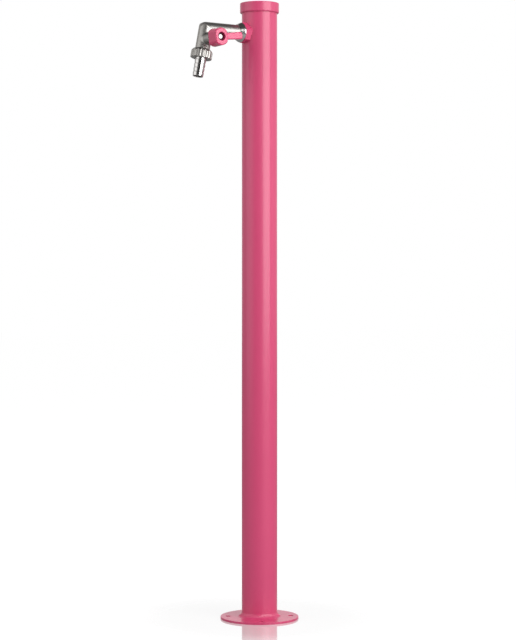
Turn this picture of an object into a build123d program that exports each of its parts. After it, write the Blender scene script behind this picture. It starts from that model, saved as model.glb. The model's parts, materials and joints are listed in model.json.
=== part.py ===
from build123d import *
import math
import os

# Garden standpipe in millimetres. The origin is on the column's axis, at the underside of
# the base flange. +Z is up, the tap points to -Y and its lever is on the +X side.

# Column
height = 1040.0
column_diameter = 60.0
column_wall = 2.0

# Base flange and its weld
flange_diameter = 132.0
flange_thickness = 3.5
flange_edge_round = 0.8
flange_opening_diameter = 50.0
anchor_edge_distance = 13.0
anchor_hole_diameter = 9.0
anchor_count = 4
anchor_first_angle = 58.0
weld_leg = 7.5
weld_hollow = 1.4

# Cap, with a skirt outside the tube and a plug with a ring inside it
cap_overhang = 3.0
cap_height = 17.0
cap_roof = 3.0
cap_top_round = 0.8
cap_lower_round = 2.0
plug_length = 12.0
plug_wall = 4.0
cap_ring_section = 3.0

# Outlet socket through the column's wall
tap_below_top = 52.0
socket_across_flats = 30.0
socket_turn = 14.0
socket_projection = 8.0
socket_chamfer = 0.6
boss_chamfer = 1.0
spigot_diameter = 23.0
spigot_inset = 14.0

# Threads, as plain walls at the major diameter
half_inch_thread = 20.9
three_quarter_thread = 26.4
three_quarter_pitch = 1.814

# Water line inside the column
waterway_diameter = 12.0
elbow_diameter = 24.0
elbow_drop = 30.0
pipe_diameter = 15.0
pipe_wall = 1.0
pipe_insertion = 12.0
compression_thread_length = 10.0
compression_across_flats = 24.0
nut_lip = 3.0
olive_half_length = 3.0
olive_edge = 0.4
olive_crown = 1.5
inlet_height = 30.0
inlet_socket_diameter = 27.0
inlet_socket_length = 16.0
inlet_thread_length = 14.0
inlet_across_flats = 27.0
inlet_hexagon_length = 8.0

# Tap body
body_diameter = 24.5
spout_reach = 108.6
spout_lean = 11.5
tail_thread_length = 11.0
gasket_thickness = 1.5
gasket_bore_diameter = 13.0
rosette_diameter = 33.2
rosette_thickness = 3.0
rosette_rim = 1.6
rosette_edge_round = 0.7
rosette_collar_length = 5.8
rosette_collar_wall = 0.9
leg_length = 35.8

# Ball valve in the spout
stem_drop = 17.85
ball_diameter = 17.0
ball_port_diameter = 10.0
seat_length = 4.3
seat_bore_diameter = 11.0
seat_backing = 0.6
cavity_gap = 0.3
insert_thread = 20.0
nipple_bore_diameter = 12.5
union_turns = 3.5

# Stem and its housing
stem_diameter = 8.0
tongue_width = 3.8
tongue_height = 7.0
tongue_length = 3.0
housing_diameter = 19.0
housing_end = 26.2
housing_blend = 1.5
collar_diameter = 11.0
collar_start = 12.4
collar_length = 2.0
thrust_thickness = 0.8
gland_thread = 14.0
gland_thread_length = 5.5
gland_across_flats = 17.0
gland_head_length = 3.2

# Lever handle
hub_diameter = 30.4
hub_front_diameter = 28.8
hub_flat_reach = 11.6
hub_depth = 23.4
hub_standoff = 0.7
hub_front_round = 2.4
hub_back_round = 1.2
recess_diameter = 13.8
recess_depth = 10.0
arm_reach = 43.6
arm_root_width = 10.4
arm_tip_width = 12.2
arm_thickness = 8.0
arm_setback = 3.0
arm_tip_round = 3.5
arm_edge_round = 1.8
arm_rise = 6.5
flats_width = 6.0
stem_thread = 6.0
handle_nut_across_flats = 10.0
handle_nut_length = 4.6
washer_diameter = 12.6
washer_thickness = 1.0

# Hose union
union_nut_diameter = 36.0
union_nut_length = 15.2
union_nut_mouth_wall = 1.2
union_nut_dome = 3.4
union_nut_lip = 3.0
union_nut_edge_round = 0.8
flute_count = 16
flute_diameter = 6.0
flute_depth = 0.9
flute_first_share = 0.5
seal_thickness = 1.8
tail_collar_length = 3.0
tail_length = 30.8
tail_neck_diameter = 18.8
tail_bore_diameter = 13.7
barb_count = 4
barb_pitch = 6.9
barb_first_diameter = 19.6
barb_last_diameter = 18.9
barb_step = 0.55
tail_mouth_chamfer = 0.5

# Clearances, each radial
running_gap = 0.05
thread_gap = 0.05
slip_gap = 0.1
seal_gap = 0.03
free_gap = 0.4
tongue_gap = 0.1

# Every cut runs past the solid by this much
overrun = 1.0

# Places worked out from the sizes
column_bore = column_diameter - 2 * column_wall
anchor_circle_diameter = flange_diameter - 2 * anchor_edge_distance
tap_height = height - tap_below_top
cap_diameter = column_diameter + 2 * cap_overhang
tube_top = height - cap_roof
groove_floor = column_bore / 2 - seal_gap - cap_ring_section
ring_place = tube_top - plug_length / 2
socket_face = column_diameter / 2 + socket_projection
socket_inner = column_diameter / 2 - spigot_inset
tap_tail_end = socket_face - tail_thread_length
body_start = socket_face + rosette_thickness
socket_bore = half_inch_thread + 2 * thread_gap
inlet_top = inlet_height + inlet_socket_length + inlet_hexagon_length + compression_thread_length
elbow_mouth = tap_height - elbow_drop

ball_radius = ball_diameter / 2
seat_reach = ball_radius + seat_backing
ledge_place = stem_drop - seat_reach
insert_place = stem_drop + seat_reach
cavity_diameter = ball_diameter + 2 * cavity_gap
insert_bore = insert_thread + 2 * thread_gap
union_bore = three_quarter_thread + 2 * thread_gap
nipple_end = leg_length + union_turns * three_quarter_pitch
seal_end = nipple_end + seal_thickness
union_lip_top = seal_end + tail_collar_length
union_nut_end = union_lip_top + union_nut_lip
union_nut_mouth = union_nut_end - union_nut_length

tongue_start = ball_radius - tongue_length
shoulder_start = ball_radius + tongue_gap
packing_start = collar_start + thrust_thickness + collar_length
gland_start = housing_end - gland_thread_length
gland_end = housing_end + gland_head_length
hub_back = gland_end + hub_standoff
hub_face = hub_back + hub_depth
recess_floor = hub_face - recess_depth

# Frames: along the tap, down the spout, and along the stem with X up the lever's arm
lean = math.radians(spout_lean)
rise = math.radians(arm_rise)
spout_axis = Vector(0, -math.sin(lean), -math.cos(lean))
elbow_point = Vector(0, -spout_reach, tap_height)
stem_point = elbow_point + spout_axis * stem_drop
ground = Location()
tap_line = Plane(origin=(0, 0, tap_height), x_dir=(1, 0, 0), z_dir=(0, -1, 0)).location
spout_line = Plane(origin=elbow_point, x_dir=(1, 0, 0), z_dir=spout_axis).location
stem_line = Plane(origin=stem_point, x_dir=spout_axis, z_dir=(1, 0, 0)).location
lever_line = Plane(origin=stem_point, x_dir=(0, math.cos(rise), math.sin(rise)), z_dir=(1, 0, 0)).location
elbow_line = Plane(origin=(0, 0, elbow_mouth), x_dir=(1, 0, 0), z_dir=(0, 0, -1)).location
inlet_line = Plane(origin=(0, 0, inlet_top), x_dir=(1, 0, 0), z_dir=(0, 0, 1)).location


def rod(diameter, start, end, frame=ground):
    """Round bar along a frame's Z axis, from start to end."""
    bar = Cylinder(diameter / 2, end - start, align=(Align.CENTER, Align.CENTER, Align.MIN))
    return frame * Pos(0, 0, start) * bar


def tube(outer, inner, start, end, frame=ground):
    """Round tube along a frame's Z axis, from start to end."""
    return rod(outer, start, end, frame) - rod(inner, start - overrun, end + overrun, frame)


def turned(corners, frame=ground):
    """Solid turned about a frame's Z axis, from (radius, place, rounding) corners."""
    points = [(radius, place) for radius, place, rounding in corners]
    roundings = [rounding for radius, place, rounding in corners]
    outline = make_face(FilletPolyline(*points, radius=roundings, close=True))
    return frame * revolve(Plane.XZ * outline, Axis.Z)


def hexagon(across_flats, start, end, frame=ground, chamfer_start=0, chamfer_end=0):
    """Hexagonal bar whose corners are cut back by a cone at either end."""
    outline = RegularPolygon(across_flats / 2, 6, major_radius=False)
    bar = frame * Pos(0, 0, start) * extrude(outline, end - start)
    corner = across_flats / 2 / math.cos(math.pi / 6)
    envelope = [(0, start, 0)]
    if chamfer_start:
        envelope += [(corner - 2 * chamfer_start, start, 0)]
    envelope += [(corner, start + chamfer_start, 0), (corner, end - chamfer_end, 0)]
    if chamfer_end:
        envelope += [(corner - 2 * chamfer_end, end, 0)]
    envelope += [(0, end, 0)]
    return bar & turned(envelope, frame)


def joined(*solids):
    """One solid made of touching or crossing solids."""
    whole = solids[0]
    for solid in solids[1:]:
        whole = whole + solid
    return whole


# Column and base


def column_tube():
    """Round tube with the hole for the socket's spigot."""
    wall = tube(column_diameter, column_bore, flange_thickness, tube_top)
    return wall - rod(spigot_diameter + 2 * slip_gap, 0, column_diameter / 2 + overrun, tap_line)


def base_flange():
    """Round plate with the supply opening and the circle of anchor holes."""
    plate = turned(
        [
            (flange_opening_diameter / 2, 0, 0),
            (flange_diameter / 2, 0, 0),
            (flange_diameter / 2, flange_thickness, flange_edge_round),
            (flange_opening_diameter / 2, flange_thickness, 0),
        ]
    )
    for number in range(anchor_count):
        turn = Rot(0, 0, anchor_first_angle + number * 360 / anchor_count)
        place = turn * Pos(anchor_circle_diameter / 2, 0, 0)
        plate = plate - rod(anchor_hole_diameter, -overrun, flange_thickness + overrun, place)
    return plate


def base_weld():
    """Hollow fillet of weld metal in the corner between the column and the flange."""
    foot = column_diameter / 2
    toe = (foot + weld_leg, flange_thickness)
    root = (foot, flange_thickness)
    top = (foot, flange_thickness + weld_leg)
    slope_middle = (foot + weld_leg / 2 - weld_hollow, flange_thickness + weld_leg / 2 - weld_hollow)
    outline = Line(root, toe) + ThreePointArc(toe, slope_middle, top) + Line(top, root)
    return revolve(Plane.XZ * make_face(outline), Axis.Z)


def top_cap():
    """Overhanging cap: a roof, a skirt outside the tube and a hollow plug inside it."""
    skirt_foot = height - cap_height
    skirt_bore = column_diameter / 2 + slip_gap
    plug_radius = column_bore / 2 - slip_gap
    plug_foot = tube_top - plug_length
    groove_half = cap_ring_section / 2 + seal_gap
    return turned(
        [
            (0, height, 0),
            (cap_diameter / 2, height, cap_top_round),
            (cap_diameter / 2, skirt_foot, cap_lower_round),
            (skirt_bore, skirt_foot, 0),
            (skirt_bore, tube_top, 0),
            (plug_radius, tube_top, 0),
            (plug_radius, ring_place + groove_half, 0),
            (groove_floor, ring_place + groove_half, 0),
            (groove_floor, ring_place - groove_half, 0),
            (plug_radius, ring_place - groove_half, 0),
            (plug_radius, plug_foot, 0),
            (groove_floor - plug_wall, plug_foot, 0),
            (groove_floor - plug_wall, tube_top, 0),
            (0, tube_top, 0),
        ]
    )


def cap_o_ring():
    """Round-section ring in the plug's groove."""
    return Pos(0, 0, ring_place) * Torus(groove_floor + cap_ring_section / 2, cap_ring_section / 2)


def outlet_socket():
    """Hexagonal boss on the column with a round spigot that goes in through the wall."""
    turned_line = tap_line * Rot(0, 0, socket_turn)
    boss = hexagon(socket_across_flats, 0, socket_face, turned_line, chamfer_end=boss_chamfer)
    boss = boss - rod(column_diameter, tap_height - socket_face, tap_height + socket_face)
    spigot = rod(spigot_diameter, socket_inner, socket_face - boss_chamfer, tap_line)
    return joined(boss, spigot) - rod(socket_bore, 0, socket_face + overrun, tap_line)


# Water line inside the column


def compression_end(frame):
    """Male thread of a compression fitting, whose mouth is at the frame's origin."""
    return rod(half_inch_thread, -compression_thread_length, 0, frame)


def compression_mouth(frame):
    """What is cut from a compression fitting: the pipe's pocket and the olive's cone."""
    pocket = pipe_diameter / 2 + slip_gap
    return turned(
        [
            (0, -pipe_insertion, 0),
            (pocket, -pipe_insertion, 0),
            (pocket, -olive_half_length, 0),
            (pipe_diameter / 2 + olive_edge + seal_gap, -olive_half_length, 0),
            (pipe_diameter / 2 + olive_crown + seal_gap, 0, 0),
            (pipe_diameter / 2 + olive_crown + seal_gap, overrun, 0),
            (0, overrun, 0),
        ],
        frame,
    )


def compression_olive(frame):
    """Double-coned ring that the nut squeezes onto the pipe."""
    bore = pipe_diameter / 2 + seal_gap
    return turned(
        [
            (bore, -olive_half_length, 0),
            (pipe_diameter / 2 + olive_edge, -olive_half_length, 0),
            (pipe_diameter / 2 + olive_crown, 0, 0),
            (pipe_diameter / 2 + olive_edge, olive_half_length, 0),
            (bore, olive_half_length, 0),
        ],
        frame,
    )


def compression_nut(frame):
    """Hexagonal nut with a cone that presses the olive home."""
    end = olive_half_length + nut_lip
    start = nut_lip - compression_thread_length
    nut = hexagon(compression_across_flats, start, end, frame, chamfer_end=socket_chamfer)
    hollow = turned(
        [
            (0, start - overrun, 0),
            (socket_bore / 2, start - overrun, 0),
            (socket_bore / 2, 0, 0),
            (pipe_diameter / 2 + olive_crown + seal_gap, 0, 0),
            (pipe_diameter / 2 + olive_edge + seal_gap, olive_half_length, 0),
            (pipe_diameter / 2 + slip_gap, olive_half_length, 0),
            (pipe_diameter / 2 + slip_gap, end + overrun, 0),
            (0, end + overrun, 0),
        ],
        frame,
    )
    return nut - hollow


def riser_elbow():
    """Elbow on the column's axis, screwed into the socket's inner end."""
    gasket_face = tap_tail_end - gasket_thickness
    outside = joined(
        rod(elbow_diameter, 0, socket_inner, tap_line),
        Pos(0, 0, tap_height) * Sphere(elbow_diameter / 2),
        rod(elbow_diameter, elbow_mouth + compression_thread_length, tap_height),
        rod(half_inch_thread, 0, gasket_face, tap_line),
        compression_end(elbow_line),
    )
    waterway = joined(
        rod(waterway_diameter, 0, gasket_face + overrun, tap_line),
        Pos(0, 0, tap_height) * Sphere(waterway_diameter / 2),
        rod(waterway_diameter, elbow_mouth, tap_height),
        compression_mouth(elbow_line),
    )
    return outside - waterway


def riser_pipe():
    """Pipe between the two compression fittings."""
    start = inlet_top - pipe_insertion
    end = elbow_mouth + pipe_insertion
    return tube(pipe_diameter, pipe_diameter - 2 * pipe_wall, start, end)


def inlet_adaptor():
    """Adaptor with a threaded mouth that faces the ground."""
    hexagon_start = inlet_height + inlet_socket_length
    hexagon_end = hexagon_start + inlet_hexagon_length
    outside = joined(
        rod(inlet_socket_diameter, inlet_height, hexagon_start),
        hexagon(inlet_across_flats, hexagon_start, hexagon_end, ground, socket_chamfer, socket_chamfer),
        compression_end(inlet_line),
    )
    waterway = joined(
        rod(socket_bore, inlet_height - overrun, inlet_height + inlet_thread_length),
        rod(waterway_diameter, inlet_height, inlet_top),
        compression_mouth(inlet_line),
    )
    return outside - waterway


# Tap


def inlet_gasket():
    """Flat ring between the elbow's end and the tap's tail."""
    start = tap_tail_end - gasket_thickness
    return tube(half_inch_thread, gasket_bore_diameter, start, tap_tail_end, tap_line)


def rosette():
    """Plated ring clamped behind the tap body, with a cone that shrouds the body's leg."""
    bore = half_inch_thread / 2 + slip_gap
    collar_bore = body_diameter / 2 + slip_gap
    collar_end = body_start + rosette_collar_length
    return turned(
        [
            (bore, socket_face, 0),
            (rosette_diameter / 2, socket_face, rosette_edge_round),
            (rosette_diameter / 2, socket_face + rosette_rim, rosette_edge_round),
            (collar_bore + rosette_collar_wall, collar_end, 0),
            (collar_bore, collar_end, 0),
            (collar_bore, body_start, 0),
            (bore, body_start, 0),
        ],
        tap_line,
    )


def tap_outside():
    """Tail, horizontal leg, round elbow, spout leg and stem housing as one solid."""
    legs = joined(
        rod(body_diameter, body_start, spout_reach, tap_line),
        Pos(elbow_point) * Sphere(body_diameter / 2),
        rod(body_diameter, 0, leg_length, spout_line),
    )
    with_housing = legs + rod(housing_diameter, 0, housing_end, stem_line)
    seam = [
        edge
        for edge in with_housing.edges().filter_by(GeomType.LINE, reverse=True)
        if edge.bounding_box().min.X > 0
        and edge.bounding_box().max.X < housing_end - housing_blend
    ]
    blended = fillet(seam, housing_blend)
    return blended + rod(half_inch_thread, tap_tail_end, body_start, tap_line)


def tap_body():
    """Angled body, bored for the water, the ball, the insert and the stem."""
    waterway = joined(
        rod(waterway_diameter, tap_tail_end - overrun, spout_reach, tap_line),
        Pos(elbow_point) * Sphere(waterway_diameter / 2),
        rod(waterway_diameter, 0, stem_drop, spout_line),
    )
    cavity = joined(
        rod(cavity_diameter, ledge_place, leg_length + overrun, spout_line),
        rod(insert_bore, insert_place, leg_length + overrun, spout_line),
    )
    stem_bore = joined(
        rod(stem_diameter + 2 * running_gap, 0, housing_end, stem_line),
        rod(collar_diameter + 2 * running_gap, collar_start, housing_end, stem_line),
        rod(gland_thread + 2 * thread_gap, gland_start, housing_end + overrun, stem_line),
    )
    return tap_outside() - waterway - cavity - stem_bore


def seat(start, end):
    """Seat ring hollowed by the ball, between two places down the spout."""
    ring = tube(cavity_diameter - 2 * seal_gap, seat_bore_diameter, start, end, spout_line)
    return ring - Pos(stem_point) * Sphere(ball_radius + running_gap)


def upper_seat():
    """Seat ring between the body's ledge and the ball."""
    return seat(ledge_place, ledge_place + seat_length)


def lower_seat():
    """Seat ring between the ball and the insert."""
    return seat(insert_place - seat_length, insert_place)


def thrust_washer():
    """Washer under the stem's collar."""
    bore = stem_diameter + 2 * running_gap
    return tube(collar_diameter, bore, collar_start, collar_start + thrust_thickness, stem_line)


def stem_packing():
    """Packing ring between the stem's collar and the gland nut."""
    bore = stem_diameter + 2 * running_gap
    return tube(collar_diameter, bore, packing_start, gland_start, stem_line)


def gland_nut():
    """Nut that closes the housing and presses on the packing."""
    head = hexagon(gland_across_flats, housing_end, gland_end, stem_line, chamfer_end=socket_chamfer)
    thread = rod(gland_thread, gland_start, housing_end, stem_line)
    bore = stem_diameter + 2 * running_gap
    return joined(head, thread) - rod(bore, gland_start - overrun, gland_end + overrun, stem_line)


def outlet_nipple():
    """Screwed insert that backs the lower seat and carries the union's thread."""
    insert = rod(insert_thread, insert_place, leg_length, spout_line)
    outlet = rod(three_quarter_thread, leg_length, nipple_end, spout_line)
    bore = rod(nipple_bore_diameter, insert_place - overrun, nipple_end + overrun, spout_line)
    return joined(insert, outlet) - bore


# Valve, drawn closed: the ball's port lies across the spout


def valve_ball():
    """Bored ball with a slot for the stem's tongue."""
    port_line = stem_line * Rot(90, 0, 0)
    ball = port_line * Sphere(ball_radius)
    ball = ball - rod(ball_port_diameter, -ball_diameter, ball_diameter, port_line)
    slot_floor = tongue_start - tongue_gap
    slot = Box(
        2 * ball_diameter,
        tongue_width + 2 * tongue_gap,
        ball_radius,
        align=(Align.CENTER, Align.CENTER, Align.MIN),
    )
    return ball - stem_line * Pos(0, 0, slot_floor) * slot


def valve_stem():
    """Stem with a tongue, a collar, two flats for the handle and a threaded end."""
    shaft_end = hub_back - slip_gap
    thread_end = recess_floor + washer_thickness + handle_nut_length
    tongue = Box(
        tongue_height,
        tongue_width,
        shoulder_start - tongue_start,
        align=(Align.CENTER, Align.CENTER, Align.MIN),
    )
    flats = rod(stem_diameter, shaft_end, recess_floor - slip_gap, stem_line)
    flats = flats & lever_line * Box(2 * stem_diameter, flats_width, 2 * hub_face)
    return joined(
        stem_line * Pos(0, 0, tongue_start) * tongue,
        rod(stem_diameter, shoulder_start, shaft_end, stem_line),
        rod(collar_diameter, collar_start + thrust_thickness, packing_start, stem_line),
        flats,
        rod(stem_thread, recess_floor - slip_gap, thread_end, stem_line),
    )


def lever_arm():
    """Short flat arm with a rounded tip and rounded edges, in the lever's own frame."""
    root_half = arm_root_width / 2
    tip_half = arm_tip_width / 2
    corners = [(0, -root_half), (arm_reach, -tip_half), (arm_reach, tip_half), (0, root_half)]
    outline = Polygon(corners, align=None)
    outline = fillet(outline.vertices().group_by(Axis.X)[-1], arm_tip_round)
    arm = extrude(outline, arm_thickness)
    rims = arm.faces().sort_by(Axis.Z)[0].edges() + arm.faces().sort_by(Axis.Z)[-1].edges()
    root = rims.group_by(Axis.X)[0]
    return fillet([edge for edge in rims if edge not in root], arm_edge_round)


def lever_handle():
    """Recessed, flat-sided hub on the stem's flats, with the arm that points at the column."""
    hub = turned(
        [
            (0, hub_back, 0),
            (hub_diameter / 2, hub_back, hub_back_round),
            (hub_front_diameter / 2, hub_face, hub_front_round),
            (recess_diameter / 2, hub_face, 0),
            (recess_diameter / 2, recess_floor, 0),
            (0, recess_floor, 0),
        ]
    )
    arm_back = hub_face - arm_setback - arm_thickness
    core = rod(2 * hub_flat_reach - 2 * arm_edge_round, arm_back - overrun, hub_face + overrun)
    arm = Pos(0, 0, arm_back) * lever_arm() - core
    hub = hub & Pos(0, 0, (hub_back + hub_face) / 2) * Box(2 * hub_flat_reach, hub_diameter, hub_depth)
    handle = hub + arm
    hole = rod(stem_diameter + 2 * running_gap, hub_back - overrun, recess_floor + overrun)
    hole = hole & Box(2 * stem_diameter, flats_width + 2 * running_gap, 2 * hub_face + 2 * overrun)
    return lever_line * (handle - hole)


def handle_washer():
    """Flat washer on the floor of the handle's recess."""
    bore = stem_thread + 2 * slip_gap
    return tube(washer_diameter, bore, recess_floor, recess_floor + washer_thickness, stem_line)


def handle_nut():
    """Hexagonal nut on the stem's thread."""
    start = recess_floor + washer_thickness
    end = start + handle_nut_length
    nut = hexagon(handle_nut_across_flats, start, end, lever_line, 0, socket_chamfer)
    return nut - rod(stem_thread + 2 * thread_gap, start - overrun, end + overrun, stem_line)


# Hose union


def union_nut():
    """Domed, fluted nut whose lip carries the hose tail's collar."""
    mouth_radius = union_bore / 2 + union_nut_mouth_wall
    outer_radius = union_nut_diameter / 2
    lip_radius = tail_neck_diameter / 2 + free_gap
    shoulder = union_nut_mouth + union_nut_dome
    blank = turned(
        [
            (union_bore / 2, union_nut_mouth, 0),
            (mouth_radius, union_nut_mouth, 0),
            (outer_radius, shoulder, union_nut_dome),
            (outer_radius, union_nut_end, union_nut_edge_round),
            (lip_radius, union_nut_end, 0),
            (lip_radius, union_lip_top, 0),
            (union_bore / 2, union_lip_top, 0),
        ],
        spout_line,
    )
    flute_radius = outer_radius + flute_diameter / 2 - flute_depth
    for number in range(flute_count):
        turn = Rot(0, 0, (number + flute_first_share) * 360 / flute_count)
        place = spout_line * turn * Pos(flute_radius, 0, 0)
        blank = blank - rod(flute_diameter, union_nut_mouth - overrun, union_nut_end + overrun, place)
    return blank


def outlet_washer():
    """Sealing ring on the hose tail's collar."""
    outer = union_bore - 2 * free_gap
    return tube(outer, tail_bore_diameter, nipple_end, seal_end, spout_line)


def hose_tail():
    """Collar, neck and barbed end for a hose."""
    collar_radius = union_bore / 2 - free_gap
    tail_end = union_nut_end + tail_length
    barbs_start = tail_end - barb_count * barb_pitch
    neck_radius = tail_neck_diameter / 2
    corners = [
        (tail_bore_diameter / 2, seal_end, 0),
        (collar_radius, seal_end, 0),
        (collar_radius, union_lip_top, 0),
        (neck_radius, union_lip_top, 0),
    ]
    for number in range(barb_count):
        narrowing = (barb_last_diameter - barb_first_diameter) * number / (barb_count - 1)
        crest = (barb_first_diameter + narrowing) / 2
        top = barbs_start + number * barb_pitch
        corners += [
            (crest - barb_step, top, 0),
            (crest, top, 0),
            (crest, top + barb_step, 0),
            (crest - barb_step, top + barb_pitch, 0),
        ]
    corners += [
        (tail_bore_diameter / 2 + tail_mouth_chamfer, tail_end, 0),
        (tail_bore_diameter / 2, tail_end - tail_mouth_chamfer, 0),
    ]
    return turned(corners, spout_line)


def main():
    """Write each piece to its own file and print its volume."""
    pieces = {
        "column_tube": column_tube(),
        "base_flange": base_flange(),
        "base_weld": base_weld(),
        "top_cap": top_cap(),
        "cap_o_ring": cap_o_ring(),
        "outlet_socket": outlet_socket(),
        "riser_elbow": riser_elbow(),
        "elbow_olive": compression_olive(elbow_line),
        "elbow_nut": compression_nut(elbow_line),
        "riser_pipe": riser_pipe(),
        "inlet_olive": compression_olive(inlet_line),
        "inlet_nut": compression_nut(inlet_line),
        "inlet_adaptor": inlet_adaptor(),
        "inlet_gasket": inlet_gasket(),
        "rosette": rosette(),
        "tap_body": tap_body(),
        "upper_seat": upper_seat(),
        "lower_seat": lower_seat(),
        "thrust_washer": thrust_washer(),
        "stem_packing": stem_packing(),
        "gland_nut": gland_nut(),
        "outlet_nipple": outlet_nipple(),
        "valve_ball": valve_ball(),
        "valve_stem": valve_stem(),
        "lever_handle": lever_handle(),
        "handle_washer": handle_washer(),
        "handle_nut": handle_nut(),
        "hose_tail": hose_tail(),
        "outlet_washer": outlet_washer(),
        "union_nut": union_nut(),
    }
    os.makedirs("parts", exist_ok=True)
    for name, piece in pieces.items():
        export_step(piece, os.path.join("parts", name + ".step"))
        print(name, round(piece.volume, 1))


main()
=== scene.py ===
"""Garden standpipe: meshes, finishes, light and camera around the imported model.

Sizes are in millimetres, and each frame matrix turns them into the model's metres.
+Z is up, the tap points to -Y and its lever is on the +X side.
"""

from __future__ import annotations

import json
import logging
import math
from dataclasses import dataclass
from enum import Enum
from typing import Callable, Sequence

import bmesh
import bpy
import numpy as np
from mathutils import Matrix, Vector

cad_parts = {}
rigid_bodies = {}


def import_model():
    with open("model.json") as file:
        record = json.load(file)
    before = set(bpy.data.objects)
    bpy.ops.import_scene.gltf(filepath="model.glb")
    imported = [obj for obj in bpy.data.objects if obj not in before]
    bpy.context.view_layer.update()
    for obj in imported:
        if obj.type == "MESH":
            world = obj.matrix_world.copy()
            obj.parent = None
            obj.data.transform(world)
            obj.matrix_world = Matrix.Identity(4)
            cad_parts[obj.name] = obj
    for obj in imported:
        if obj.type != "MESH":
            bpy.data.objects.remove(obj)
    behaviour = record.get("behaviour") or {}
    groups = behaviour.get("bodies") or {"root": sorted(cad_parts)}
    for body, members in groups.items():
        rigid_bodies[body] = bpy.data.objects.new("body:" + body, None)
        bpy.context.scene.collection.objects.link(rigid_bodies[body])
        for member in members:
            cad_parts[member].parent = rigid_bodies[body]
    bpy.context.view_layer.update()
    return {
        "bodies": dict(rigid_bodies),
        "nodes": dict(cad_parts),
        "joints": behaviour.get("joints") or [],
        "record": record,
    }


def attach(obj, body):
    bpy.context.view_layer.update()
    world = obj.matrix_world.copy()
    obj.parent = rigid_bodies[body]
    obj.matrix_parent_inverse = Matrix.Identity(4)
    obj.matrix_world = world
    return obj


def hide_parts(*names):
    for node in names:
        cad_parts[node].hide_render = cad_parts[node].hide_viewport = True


log = logging.getLogger("standpipe")

MILLIMETRE = 0.001

ORIGIN = (0, 0, 0)
X_AXIS = (1, 0, 0)
Y_AXIS = (0, 1, 0)
Z_AXIS = (0, 0, 1)
WHITE = (1.0, 1.0, 1.0)

# Edges of turned pieces sharper than this stay crisp, in degrees
SHARP_ANGLE = 40.0
# Points nearer to each other than this are one, in metres
WELD_GAP = MILLIMETRE * MILLIMETRE
# Sockets of a Mix node by number, because several of them share a name
MIX_NUMBERS = (2, 3)
MIX_COLOURS = (6, 7)
MIXED_NUMBER = 0
MIXED_COLOUR = 2
# How points are moved onto a surface: rounds, parts of a cell in a difference, least squared slope
SETTLE_ROUNDS = 4
SETTLE_PARTS = 20
LEAST_SLOPE = 0.05

Piece = bpy.types.Object
Socket = bpy.types.NodeSocket
Colour = tuple[float, float, float]
Span = tuple[float, float]
Field = Callable[[np.ndarray], np.ndarray]
Profile = Sequence[tuple[float, float, float]]
Section = list[tuple[float, float]]


class Body(Enum):
    """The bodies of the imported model."""

    STANDPIPE = "standpipe"
    VALVE = "valve"
    TAIL = "tail"
    NUT = "nut"


class Slot(Enum):
    """The record's material slots that new pieces take their finish from."""

    PAINT = "paint"
    LEVER_PAINT = "lever_paint"
    PLATING = "plating"
    SATIN_PLATING = "satin_plating"


class Kind(Enum):
    """The kinds of socket that the shared node groups have."""

    FLOAT = "NodeSocketFloat"
    COLOUR = "NodeSocketColor"
    VECTOR = "NodeSocketVector"


# Frames and places


@dataclass(frozen=True)
class Places:
    """Frames of the column, the spout and the lever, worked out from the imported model.

    Attributes:
        ground: Frame on the column's axis, with Z up.
        spout: Frame at the tap's elbow, with Z down the spout.
        tap: Frame on the column's axis at the tap's height, with Z out along the tap.
        lever: Frame at the stem, with Z along the stem and X up the lever's arm.
    """

    ground: Matrix
    spout: Matrix
    tap: Matrix
    lever: Matrix

    @classmethod
    def from_frame(cls, frame: dict, stem_drop: float, arm_rise: float) -> "Places":
        """Work the frames out from the model's joints.

        Args:
            stem_drop: Distance from the elbow's centre down the spout to the stem.
            arm_rise: Angle of the lever's arm above level, in degrees.

        Returns:
            The frames, each with a scale of one millimetre.
        """
        joints = {joint["name"]: joint for joint in frame["joints"]}
        stem = Vector(joints["lever_turn"]["pos_m"])
        down = Vector(joints["tail_travel"]["axis"]).normalized()
        elbow = stem - down * (stem_drop * MILLIMETRE)
        side = Vector(X_AXIS)
        rise = math.radians(arm_rise)
        arm = Vector((0, math.cos(rise), math.sin(rise)))
        outward = -Vector(Y_AXIS)
        return cls(
            ground=frame_matrix(Vector(ORIGIN), side, Vector(Z_AXIS)),
            spout=frame_matrix(elbow, side, down),
            tap=frame_matrix(Vector((0, 0, elbow.z)), side, outward),
            lever=frame_matrix(stem, arm, side),
        )


def frame_matrix(origin: Vector, x_axis: Vector, z_axis: Vector) -> Matrix:
    """Make the matrix of a right-handed frame whose unit is one millimetre.

    Args:
        origin: Origin in metres.
        x_axis: Direction of the frame's X axis.
        z_axis: Direction of the frame's Z axis.

    Returns:
        Matrix from the frame's millimetres to the model's metres.
    """
    y_axis = z_axis.cross(x_axis)
    turn = Matrix((x_axis, y_axis, z_axis)).transposed().to_4x4()
    return Matrix.Translation(origin) @ turn @ Matrix.Scale(MILLIMETRE, 4)


# Mesh building


def new_piece(name: str, verts: np.ndarray, faces: Sequence[Sequence[int]], frame: Matrix) -> Piece:
    """Make a mesh object from points in a frame's millimetres.

    Args:
        name: Name of the piece.
        verts: Points, one row each.
        faces: Corner indices of each face.
        frame: Matrix from the points' frame to the model's.

    Returns:
        The object, at the origin, with its place in its mesh.
    """
    mesh = bpy.data.meshes.new(name)
    mesh.from_pydata([frame @ Vector(point) for point in verts], [], faces)
    mesh.update()
    mesh.shade_smooth()
    piece = bpy.data.objects.new(name, mesh)
    bpy.context.scene.collection.objects.link(piece)
    return piece


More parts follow.
